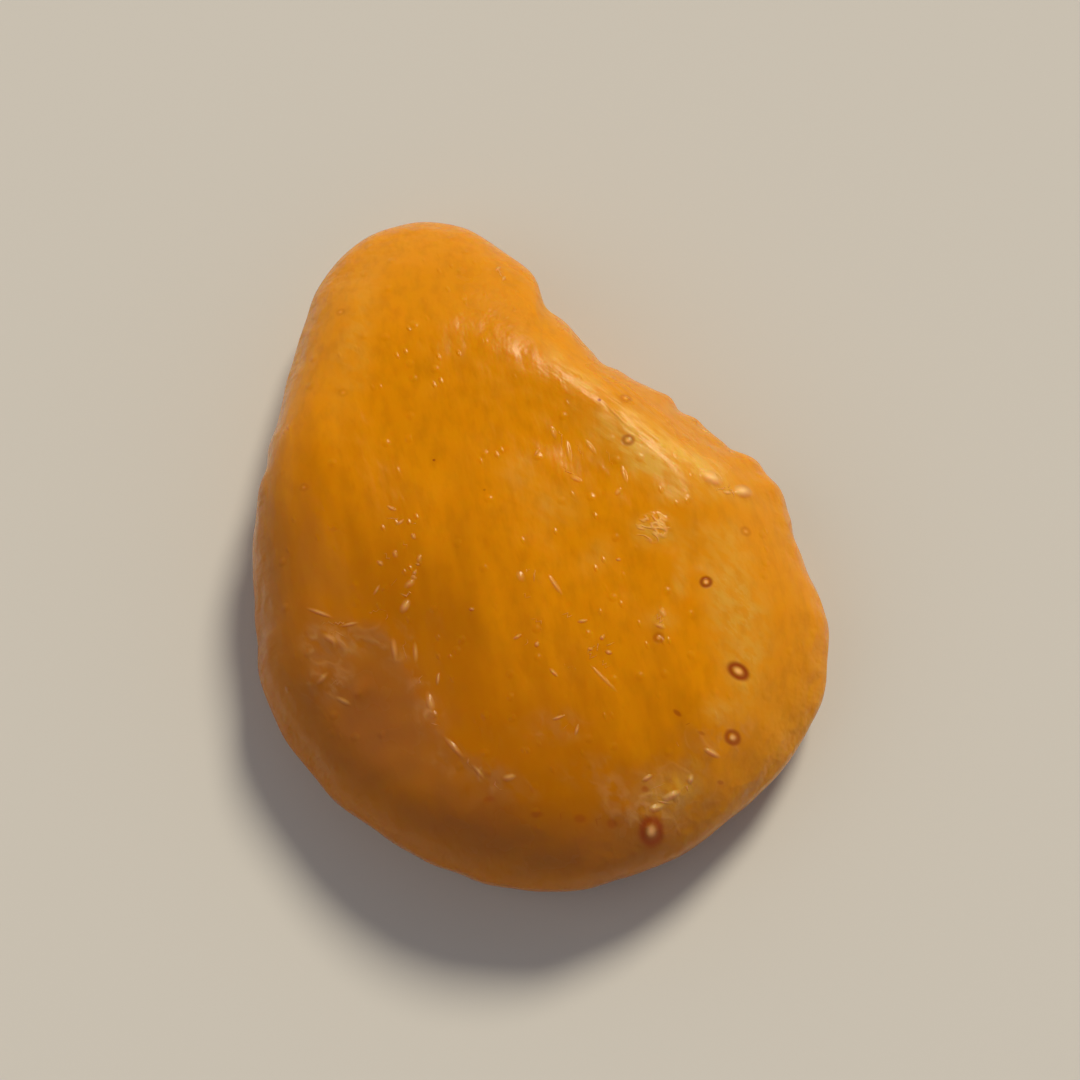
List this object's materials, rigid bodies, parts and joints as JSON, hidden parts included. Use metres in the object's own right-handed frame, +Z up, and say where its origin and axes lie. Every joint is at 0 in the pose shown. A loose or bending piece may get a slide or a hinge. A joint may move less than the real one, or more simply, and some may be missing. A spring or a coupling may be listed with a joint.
{
  "type": "dried apricot half",
  "caption": "Soft dried apricot half with its skin side up and a stone hollow in its cut side, at rest on its rim.",
  "frame": {"origin": "centre of the footprint, on the surface that the half lies on", "axes": "+Y towards the stem end, +Z up out of the skin side, +X towards the torn right flank"},
  "size_m": [0.0396, 0.048, 0.012],
  "materials": {
    "flesh": "moist, glossy and translucent orange fruit skin and flesh"
  },
  "bodies": {
    "root": {"apricot_half": "flesh"}
  },
  "joints": []
}
